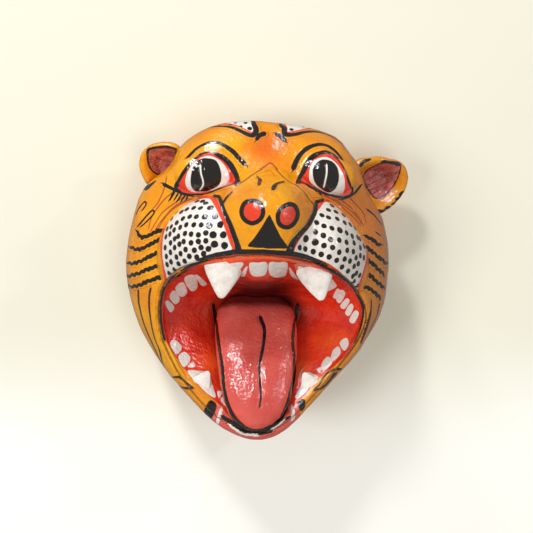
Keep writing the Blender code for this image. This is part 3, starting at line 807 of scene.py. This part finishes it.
NOSE_TRIANGLE = [
    (2.5, 38), (6, 31), (11, 21.5), (16, 14.5), (15.5, 13.5), (1.5, 13.5), (-12.5, 14.5), (-13.5,
    16), (-8.5, 22), (-2.5, 31), (1, 37),
]
# Both sizes of dot on the pads
SMALL_DOTS = [
    (-51.5, 48.5), (-47.5, 48.5), (-45, 47), (-66.5, 40), (-63, 40.5), (-59, 42.5), (-54, 43.5),
    (-49, 43.5), (-70, 35.5), (-62, 35.5), (-57, 37), (-52, 37), (-73.5, 28), (-70.5, 29.5), (-66.5,
    32.5), (-64, 29), (-59.5, 31), (-54, 31), (-48.5, 31), (-74.5, 22), (-71.5, 24), (-68.5, 27),
    (-65.5, 22.5), (-60.5, 24.5), (-56, 24), (-50.5, 23.5), (-45, 25), (-75, 14), (-71, 17.5), (-68,
    20.5), (-64.5, 16.5), (-61.5, 18.5), (-56, 17.5), (-50.5, 18.5), (-45, 19), (-74, 7.5), (-71,
    10.5), (-68, 14), (-63.5, 9.5), (-60, 12.5), (-53.5, 12), (-48.5, 14), (-43, 13), (-73.5, 1.5),
    (-70.5, 3.5), (-66.5, 7), (-65, 2), (-60.5, 4), (-57, 7.5), (-51.5, 7), (-46.5, 9.5), (-72, -5),
    (-68, -2.5), (48.5, 45), (51.5, 40.5), (57, 38), (46, 42), (41, 38), (46, 36.5), (52.5, 35.5),
    (58, 32.5), (62, 31), (65.5, 28.5), (37, 32.5), (42.5, 30), (48.5, 28.5), (59.5, 25), (63.5,
    22.5), (67.5, 21.5), (36, 25.5), (42, 23), (47.5, 20), (54, 19.5), (59.5, 18), (65, 17.5), (69,
    20.5), (42.5, 15.5), (49, 14), (54, 10.5), (60, 12), (64.5, 11), (69.5, 14), (72, 15), (24.5,
    14), (28.5, 13), (34.5, 11), (40.5, 9), (46.5, 7), (52, 4.5), (58, 5.5), (62, 4), (66.5, 6.5),
    (69.5, 8), (72, 6.5), (56, -0.5), (60.5, -3.5), (65, 0), (68, 2), (64, -7), (66.5, -5), (69,
    -6.5), (64.5, -11), (67, -14.5),
]
LARGE_DOTS = [
    (-41.5, 43.5), (-45.5, 37), (-38, 37), (-42.5, 30.5), (-34, 31), (-39.5, 23.5), (-32, 23.5),
    (-38.5, 16.5), (-31, 15.5), (54.5, 27), (29, 20.5), (36, 18),
]
SNOUT_STROKES = [
    (2.4, 2.4, LIP_LINE),
    (1.6, 2.9, [
        (-39, 52.5), (-35.5, 51.5), (-33.5, 48), (-30.5, 39.5), (-26, 29.5), (-22.5, 19.5), (-20,
        12),
    ]),
    (0.9, 1.6, [(-26, 55.5), (-30, 51), (-32, 47.5)]),
    (2.0, 3.1, [
        (41.5, 49), (37, 47), (35.5, 41), (33, 35.5), (29, 29), (24, 23.5), (20, 18), (16.5, 11),
    ]),
    (0.6, 1.0, [(28, 54.5), (32, 49.5), (35.5, 45.5)]),
    (1.6, 1.9, [(-6.5, 66), (-5, 64), (-5.5, 61.5)]),
    (2.3, 1.8, [(5, 58), (7.5, 61), (12.5, 62.5)]),
    (1.2, 1.5, MOUTH_EDGE[:3]),
]
TEETH = [
    [(-12, 2.5), (-6, 2.5), (0, 2.5), (-0.5, -5), (-5, -7), (-10, -6.5), (-12, -3)],
    [(2.5, 2.5), (9, 2.5), (15, 2.5), (14.5, -5), (12, -7.5), (6, -7.5), (2.5, -5)],
    [(-14.5, 0), (-15, -3.5), (-16.5, -7), (-19, -6.5)],
    [(17, -1), (20, -5), (23.5, -9.5), (18.5, -6.5)],
    [(-74.5, -27.5), (-73, -25.5), (-68.5, -30), (-71, -33.5)],
    [(-71.5, -22.5), (-68.5, -18), (-64.5, -24), (-67.5, -27.5)],
    [(-67, -15.5), (-62, -12), (-59, -18.5), (-62, -22), (-65, -20.5)],
    [(-60.5, -9), (-54.5, -6.5), (-51.5, -11.5), (-52, -16.5), (-56, -17.5)],
    [(-52.5, -6.5), (-48.5, -8.5), (-44.5, -12.5), (-47.5, -14)],
    [(49.5, -22), (52.5, -16.5), (54, -18.5), (51.5, -23)],
    [(52, -24), (55, -17.5), (58, -20), (54.5, -26.5)],
    [(55, -29), (59, -24), (61, -26), (57.5, -31)],
    [(58.5, -34), (62, -28), (64, -30), (61, -36)],
    [(61.5, -39.5), (65.5, -33), (68, -35), (64.5, -41.5)],
    [(-71, -57.5), (-68, -54.5), (-63, -59.5), (-66.5, -64.5)],
    [(-65, -67), (-60.5, -63.5), (-56.5, -68), (-61, -74)],
    [(-58, -74), (-54.5, -71), (-53, -74)],
    [(-36, -92.5), (-33.5, -93), (-35, -97)],
    [(-33.5, -99), (-32, -97), (-30, -103)],
    [(54.5, -56.5), (59, -53), (60.5, -58), (57.5, -62)],
    [(48, -66.5), (49.5, -62), (53, -59.5), (54.5, -64), (49.5, -69.5)],
    [(40.5, -74), (43, -68.5), (46, -67), (48, -71.5), (42.5, -76.5)],
    [(37.5, -76), (40, -75), (39.5, -78.5)],
]
FANG_ROOTS = [
    [(-41, -1), (-34, 1), (-26, 2), (-17.5, 2.5), (-20, -2.5), (-25, -10), (-30, -16.5), (-35.5,
     -16.5), (-40, -10)],
    [(23.5, -0.5), (29.5, -1.5), (38, -3.5), (45.5, -7.5), (50.5, -12.5), (51, -15), (43, -18.5),
     (35.5, -16.5), (29.5, -10)],
    [(-58, -77.5), (-50.5, -77.5), (-43.5, -79), (-40.5, -87), (-38, -96.5), (-45.5, -92), (-52,
     -85)],
    [(29.5, -79), (34, -79.5), (38, -82), (33, -87.5), (27, -94.5), (21.5, -97), (25, -89.5)],
]

CREASE_STROKES = [
    [(-25, 58), (-34, 56), (-44, 52.5), (-51.5, 51)],
    [(-11, 67), (-4.5, 69), (2.5, 71)],
    [(34, 51), (43, 50.5), (53, 46), (62, 39.5)],
    [(-1.5, 70.5), (2.5, 71), (6, 67)],
]
# How far the white of the teeth is brushed past their outlines
TEETH_GROWN = 0.35
SNOUT_GRAIN = 0.78
snout = fine_copy("snout", "painted_snout", SNOUT_GRAIN, 14, 0.30)
sheet = on_sheet(snout)
skin = outer_skin(snout, (-0.003, WALL_Y - 0.045, -0.048))
lip = shape_depth(sheet, [MOUTH_EDGE])
pads = shape_depth(sheet, PAD_RED)
seam, seam_half = stroke_sides(snout, sheet, SNOUT_STROKES[1:4], 6.0)
fold, fold_half = stroke_sides(snout, sheet, [(1.0, 1.0, FOREHEAD_CREASE)], 6.0)
lid = shape_depth(sheet, EYE_BLACK)
move_out(snout, skin * (
    0.4 * lumps(snout, 24, 5.3) + 0.15 * lumps(snout, 7, 1.9)
    + 0.7 * band(lip, 2, 2.2) + 0.5 * band(lid, -0.6, 1.7)
    - 0.8 * band(seam, 0, 2.0) * (seam_half > 0) - 1.0 * band(fold, 0, 1.1) * (fold_half > 0)
))
keep(snout, "skin", skin)
keep(snout, "pad_white", shape_depth(sheet, PAD_WHITE))
keep(snout, "pad_red", pads)
keep(snout, "pad_dots", dot_depth(
    snout, sheet, [(u, v, 2.2) for u, v in SMALL_DOTS] + [(u, v, 2.75) for u, v in LARGE_DOTS]))
nostril = shape_depth(sheet, NOSTRILS)
keep(snout, "nostril_red", nostril + 0.6)
keep(snout, "nostril_black", nostril - 2.7)
keep(snout, "nose_triangle", shape_depth(sheet, [NOSE_TRIANGLE]))
keep(snout, "mouth_red", lip)
keep(snout, "teeth", shape_depth(sheet, TEETH + FANG_ROOTS) - TEETH_GROWN)
keep_eyes(snout, sheet)
keep(snout, "warm", 0.3 * np.clip((sheet[:, 0] - 10) / 30, 0, 1))
# Painted highlight: a light orange band on the gum just inside the upper lip line
keep(snout, "painted_warm_highlight", 0.8 * band(lip, -4.0, 2.2))
reach = SNOUT_GRAIN * GRAINS_PAST
snout_marks = keep_strokes(snout, sheet, "mark", SNOUT_STROKES, reach)
creases = [(0.7, 0.5, FOREHEAD_CREASE)] + [(0.35, 0.25, s) for s in CREASE_STROKES]
fold_marks = keep_strokes(snout, sheet, "fold", creases, reach)
snout.data.materials.append(lacquered("orange_lacquer_snout", (ORANGE, DEEP_ORANGE), [
    ("shade", ["warm"], colour(222, 104, 14), 0.15),
    ("stroke", fold_marks, colour(160, 84, 24), 0.5),
    ("shape", ["pad_red"], RED, 0.2),
    ("shape", ["pad_white"], CREAM, 0.2),
    ("shape", ["pad_dots"], BLACK, 0.6),
    ("shape", ["nostril_black"], BLACK, 0.3),
    ("shape", ["nostril_red"], colour(214, 58, 28), 0.25),
    ("shape", ["nose_triangle"], BLACK, 0.3),
    *EYE_LAYERS,
    ("shape", ["mouth_red"], (RED, DEEP_RED), 0.1),
    # Painted highlight on the upper gum
    ("shade", ["painted_warm_highlight"], colour(250, 104, 62), 0.3),
    ("shape", ["teeth"], CREAM, 0.25),
    ("stroke", snout_marks, BLACK, 0.4),
], outside="skin"))
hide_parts("snout")
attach(snout, "root")

# ---------------------------------------------------------------- mouth
# The red cup behind the lips: gums, palate, cheeks and floor of the mouth. It is pressed from
# pulp, painted vermilion, and the small teeth are low bumps picked out in white.
BOWL_GRAIN = 0.9
mouth = fine_copy("mouth_bowl", "painted_mouth", BOWL_GRAIN, 8, 0.12)
sheet = on_sheet(mouth)
lining = outer_skin(mouth, (-0.008, WALL_Y - 0.16, -0.115), -1)
tooth = shape_depth(sheet, TEETH + FANG_ROOTS)
lip = shape_depth(sheet, [MOUTH_EDGE])
move_out(mouth, lining * (
    0.35 * lumps(mouth, 14, 2.2) + 0.15 * lumps(mouth, 5, 4.4)
    + 0.35 * np.clip(0.5 - tooth / 1.4, 0, 1)
))
keep(mouth, "lining", lining)
keep(mouth, "teeth", tooth - TEETH_GROWN)
# Painted shade: the deep back of the mouth and the palate between the fangs are darkened to maroon
keep(mouth, "painted_throat_shade", 0.9 * np.clip((58 - from_wall(mouth)) / 14, 0, 1)
     + 0.95 * spot(sheet, -3, -20, 24, 10, power=4))
# Painted highlights: a light orange band on the upper gum and three light orange spots on the
# mouth's walls
keep(mouth, "painted_warm_highlight", 0.7 * band(lip, -4.0, 2.2) * (sheet[:, 1] > 0)
     + 0.55 * spot(sheet, -42, -72, 12, 9) + 0.75 * spot(sheet, 25, -78, 9, 10)
     + 0.6 * spot(sheet, 50, -55, 14, 8))
TONGUE_EDGES = [
    (1.4, 2.0, [
        (-39.5, -28.5), (-37.5, -40), (-35.5, -56.5), (-33, -73), (-31.5, -89.5), (-29, -101.5),
        (-24, -111.5), (-17.5, -118), (-9.5, -121.5), (-1, -121),
    ]),
    (1.4, 1.9, [
        (23, -28.5), (20.5, -44), (19.5, -56.5), (20.5, -68.5), (20, -81), (17.5, -93.5), (14.5,
        -104), (9, -114), (1.5, -119), (-1.5, -120.5),
    ]),
]
reach = BOWL_GRAIN * GRAINS_PAST
mouth_marks = keep_strokes(mouth, sheet, "mark", TONGUE_EDGES + [(2.4, 2.2, LIP_LINE)], reach)
mouth.data.materials.append(lacquered("vermilion_lacquer", (ORANGE, DEEP_ORANGE), [
    *jaw_layers(mouth, sheet, reach, lining=True),
    # Painted highlights on the gum and the walls of the mouth
    ("shade", ["painted_warm_highlight"], colour(250, 104, 40), 0.35),
    # Painted shade in the throat and on the palate
    ("shade", ["painted_throat_shade"], colour(70, 16, 14), 0.1),
    ("shape", ["teeth"], CREAM, 0.25),
    ("stroke", mouth_marks, BLACK, 0.25),
], outside="lining", gloss=0.12, uneven=1.1))
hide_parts("mouth_bowl")
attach(mouth, "root")

# ---------------------------------------------------------------- tongue
# A thick curled slab of pulp glued to the floor of the mouth, painted salmon pink, with black
# lines down its edges and its middle.
TONGUE_MIDDLE = [
    (-4.5, -37.5), (-1.5, -46.5), (-2.5, -59), (-5, -73), (-4.5, -89.5), (-4, -96), (-5, -103.5),
]
TONGUE_GRAIN = 0.75
tongue = fine_copy("tongue", "painted_tongue", TONGUE_GRAIN, 12, 0.25)
sheet = on_sheet(tongue)
groove, groove_half = stroke_sides(tongue, sheet, [(1.0, 1.0, TONGUE_MIDDLE)], 9.0)
move_out(tongue, 0.4 * lumps(tongue, 16, 8.8) + 0.2 * lumps(tongue, 6, 6.1)
         - 0.9 * band(groove, 0, 2.6) * (groove_half > 0))
reach = TONGUE_GRAIN * GRAINS_PAST
tongue_marks = keep_strokes(
    tongue, sheet, "mark", TONGUE_EDGES + [(1.5, 0.7, TONGUE_MIDDLE)], reach)
edge_glow = keep_strokes(
    tongue, sheet, "glow", [(a + 1.0, b + 1.0, line) for a, b, line in TONGUE_EDGES], reach)
v = sheet[:, 1]
# Painted shadow: the back of the tongue and its upper end under the palate are darkened
keep(tongue, "painted_throat_shade", 0.85 * np.clip((66 - from_wall(tongue)) / 14, 0, 1)
     + 0.85 * np.clip((v + 32) / 8, 0, 1) * (v < 0))
SALMON = (colour(222, 98, 88), colour(204, 72, 62))
tongue.data.materials.append(lacquered("tongue_lacquer", SALMON, [
    # Painted shadow of the palate on the tongue
    ("shade", ["painted_throat_shade"], colour(90, 18, 16), 0.1),
    ("stroke", edge_glow, colour(236, 72, 40), 0.5),
    ("stroke", tongue_marks, BLACK, 0.25),
], gloss=0.1, uneven=1.1))
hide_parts("tongue")
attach(tongue, "root")

# ---------------------------------------------------------------- fangs
# Two large upper fangs hang from the gum and two low ones stand on the lower lip. They are
# modelled in pulp, painted bone white, and are pitted and grubby where the paint is thin.
fang_white, fang_shader, start = new_finish("fang_white")
stain = (start.grain(6, 5, 0.65) * 2.4 - 0.95).held()
bone = (stain * 0.85).blend(colour(238, 232, 224), colour(200, 184, 168))
pitting = (start.grain(1.1, 4, 0.7) * 5 - 3.3).held()
bone = (pitting * 0.7).blend(bone, colour(120, 98, 84))
relief = start.grain(3, 3) * 0.3 + start.grain(0.9, 3) * 0.12 - pitting * 0.22
feed(fang_shader, start, base_color=bone, roughness=(0.32 + stain * 0.2).held(),
     normal=bump(relief))


def press_down(piece, share, slimmer):
    """Flattens a tooth, as seen from the front, onto what lies behind it, and narrows it."""
    where = places(piece)
    back = where[:, 1].max()
    middle = where[:, 0].mean()
    where[:, 0] = middle + (where[:, 0] - middle) * slimmer
    where[:, 1] = back + (where[:, 1] - back) * share
    put_back(piece, where)


for node in ("upper_fang_left", "upper_fang_right", "lower_fang_left", "lower_fang_right"):
    fang = fine_copy(node, "painted_" + node, 0.45, 14, 0.22)
    move_out(fang, 0.22 * lumps(fang, 8, len(node)) + 0.05 * lumps(fang, 2.5, 3.3))
    if node.startswith("lower"):
        press_down(fang, share=0.22, slimmer=1.0)
    else:
        press_down(fang, share=0.6, slimmer=0.9)
    fang.data.materials.append(fang_white)
    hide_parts(node)
    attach(fang, "root")

# ---------------------------------------------------------------- eyes
# Bulging beads set under the brows, painted cream with a black pupil that has a narrow cream
# slit, ringed in red and black, and lacquered brighter than the rest.
PUPILS = [
    [(-44, 79.5), (-38, 78), (-35, 72.5), (-34, 66), (-35.5, 61), (-40, 58), (-45, 56), (-50.5,
     55.5), (-54.5, 58.5), (-55.5, 63.5), (-54.5, 71), (-52, 76.5), (-48.5, 79)],
    [(43.5, 78.5), (48.5, 77), (52, 72.5), (53, 66.5), (52, 61), (49.5, 57), (46, 55.5), (41.5,
     57.5), (37, 61.5), (35, 67.5), (35.5, 73.5), (39, 77.5)],
]
PUPIL_SLITS = [
    [(-49, 74.5), (-48.5, 69), (-47, 63.5), (-47, 60), (-49, 57)],
    [(44.5, 75), (44.5, 69), (43.5, 63.5), (42.5, 59)],
]
for node in ("eye_left", "eye_right"):
    eye = fine_copy(node, "painted_" + node, 0.5, 8, 0.32)
    sheet = on_sheet(eye)
    move_out(eye, 0.12 * lumps(eye, 9, len(node)))
    keep_eyes(eye, sheet)
    keep(eye, "pupil", shape_depth(sheet, PUPILS) - 0.7)
    slits = keep_strokes(eye, sheet, "slit", [(0.65, 0.6, s) for s in PUPIL_SLITS], 0.8)
    eye.data.materials.append(lacquered(node + "_lacquer", (ORANGE, DEEP_ORANGE), [
        *EYE_LAYERS,
        ("shape", ["pupil"], BLACK, 0.3),
        ("stroke", slits, CREAM, 0.1),
    ], gloss=0.07, uneven=0.8))
    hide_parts(node)
    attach(eye, "root")

# ---------------------------------------------------------------- ears
# Thick cupped ears of pulp, glued to the head's upper corners and joined along a dark crease.
# The cups are rose pink with wine-dark strokes and a black edge, the rims orange.
EAR_PINKS = {"ear_left": [
    (-87, 86.5), (-81, 87.5), (-73.5, 87.5), (-67.5, 86), (-68, 80), (-71, 74.5), (-73.5, 71), (-78,
    69), (-82, 69), (-85.5, 73), (-87.5, 79),
], "ear_right": [
    (72, 65), (73.5, 70), (79.5, 74), (86, 76.5), (94, 77), (98, 76), (98.5, 71), (96.5, 65), (93.5,
    59.5), (88.5, 53.5), (83.5, 50.5), (79.5, 51.5), (76, 56), (73.5, 60.5),
]}
EAR_WINE = {
    "ear_left": [
        [(-78.5, 85), (-73.5, 83), (-69, 81.5)],
        [(-81.5, 80.5), (-76, 78.5), (-71.5, 77.5)],
        [(-82, 75), (-77.5, 73)],
    ],
    "ear_right": [
        [(73, 63.5), (79.5, 67), (86, 72.5), (91.5, 76)],
        [(74.5, 60), (84, 64.5), (91, 69.5)],
        [(76.5, 56.5), (86, 60.5), (93, 64)],
        [(78, 53.5), (85.5, 57.5), (90.5, 59.5)],
    ],
}
EAR_FRINGE = [
    [(82, 41), (85.5, 40.5), (88.5, 41)],
    [(89.5, 43), (93, 43.5)],
    [(94, 45.5), (96.5, 47.5)],
    [(97, 49.5), (99.5, 51.5)],
    [(99.5, 53), (101, 55)],
]
EAR_BLACK = {
    "ear_left": [
        (1.1, 1.1, [(-88, 83.5), (-87, 86.5), (-81, 88), (-73.5, 88.5), (-67, 86.5)]),
        (1.1, 0.7, [(-88, 83.5), (-87.5, 76.5), (-85, 71.5), (-80.5, 68)]),
    ],
    "ear_right": [
        (1.8, 1.8, [(86, 77), (92.5, 77), (98, 76)]),
        (1.7, 1.3, [(69.5, 75), (72, 78), (76.5, 79.5)]),
    ] + [(1.8, 1.3, s) for s in EAR_FRINGE],
}
# How far the top edge is raised, in millimetres, from the tip of the ear in to the head
EAR_TOP_LIFT = {"ear_left": (-3.0, -3.6, -2.4, 1.5), "ear_right": (-1.0, -3.2, -2.0, 3.0)}


def set_ear(piece, node):
    """Squares the top of an ear and stretches its root in to the tucked side of the head."""
    low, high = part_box(node)
    outer = max(abs(low.x), abs(high.x))
    where = places(piece)
    inward = (outer - np.abs(where[:, 0])) / (high.x - low.x)
    middle = (low.z + high.z) / 2
    height = np.clip((where[:, 2] - middle) / (high.z - middle), 0, 1)
    lift = np.interp(inward, np.linspace(0, 1, 4), EAR_TOP_LIFT[node])
    where[:, 2] += height * lift * MM
    put_back(piece, where)
    tuck_temples(piece, np.clip(inward / 0.75, 0, 1))


for node in ("ear_left", "ear_right"):
    ear = fine_copy(node, "painted_" + node, 0.8, 10, 0.25)
    set_ear(ear, node)
    sheet = on_sheet(ear)
    move_out(ear, 0.5 * lumps(ear, 14, len(node)) + 0.2 * lumps(ear, 6, 9.2))
    front = (facings(ear) @ SIGHT < 0.1).astype(float)
    pink = np.maximum(shape_depth(sheet, [EAR_PINKS[node]]), (1 - front) * FAR)
    keep(ear, "ear_pink", pink)
    keep(ear, "ear_edge", pink - 0.8)
    wine = keep_strokes(ear, sheet, "wine", [(0.45, 0.3, s) for s in EAR_WINE[node]], 1.2, front)
    marks = keep_strokes(ear, sheet, "mark", EAR_BLACK[node], 1.3, front)
    low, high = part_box(node)
    rearward = (places(ear)[:, 1] - low.y) / (high.y - low.y)
    keep(ear, "warm", 0.4 * np.clip(rearward * 1.4 - 0.5, 0, 1))
    ear.data.materials.append(lacquered(node + "_lacquer", (ORANGE, DEEP_ORANGE), [
        ("shade", ["warm"], colour(222, 104, 14), 0.15),
        ("shape", ["ear_edge"], BLACK, 0.4),
        ("shape", ["ear_pink"], (colour(255, 150, 138), colour(246, 116, 106)), 0.2),
        ("stroke", wine, colour(164, 50, 52), 0.2),
        ("stroke", marks, BLACK, 0.5),
    ], gloss=0.14))
    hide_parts(node)
    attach(ear, "root")

# ---------------------------------------------------------------- back band and wire patches
# A flat band of glued kraft paper stiffens the back edge and lies against the wall. Two pads of
# pulp and paper, pressed on by thumb inside the hollow, hold the ends of the hanging wire.
kraft, kraft_shader, start = new_finish("kraft_paper")
fibres = start.grain(1.0, 6, 0.75, (1, 1, 0.3))
paper = ((fibres - 0.3) * 2.0).held().blend(colour(116, 86, 58), colour(168, 134, 96))
blotch = (start.grain(11, 4) * 2.6 - 1.2).held()
paper = (blotch * 0.5).blend(paper, colour(104, 74, 50))
rub = (start.grain(4, 5, 0.7) * 4 - 2.5).held()
paper = (rub * 0.6).blend(paper, colour(198, 170, 132))
feed(kraft_shader, start, base_color=paper, roughness=(0.78 + fibres * 0.15).held(),
     normal=bump(fibres * 0.3 + blotch * 0.3))
for node, fineness in (("back_band", 0.9), ("wire_patch_left", 0.6), ("wire_patch_right", 0.6)):
    pad = fine_copy(node, "paper_" + node, fineness, 5, 0.1)
    if node != "back_band":
        move_out(pad, 0.55 * lumps(pad, 7, 2.7) + 0.25 * lumps(pad, 3, 1.3))
    pad.data.materials.append(kraft)
    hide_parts(node)
    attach(pad, "root")

# ---------------------------------------------------------------- hanging wire
# One length of soft iron wire across the hollow, its ends buried in the pulp pads. It is dull,
# with rust freckles.
iron, iron_shader, start = new_finish("dull_iron_wire")
rust = (start.grain(1.6, 5, 0.7) * 3.2 - 1.6).held()
metal = rust.blend(colour(150, 150, 152), colour(110, 66, 40))
feed(iron_shader, start, base_color=metal, metallic=(1 - rust * 0.8).held(),
     roughness=(0.34 + rust * 0.4).held(), normal=bump(start.grain(0.7, 3) * 0.06 + rust * 0.04))
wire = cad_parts["hanging_wire"]
wire.data.materials.clear()
wire.data.materials.append(iron)
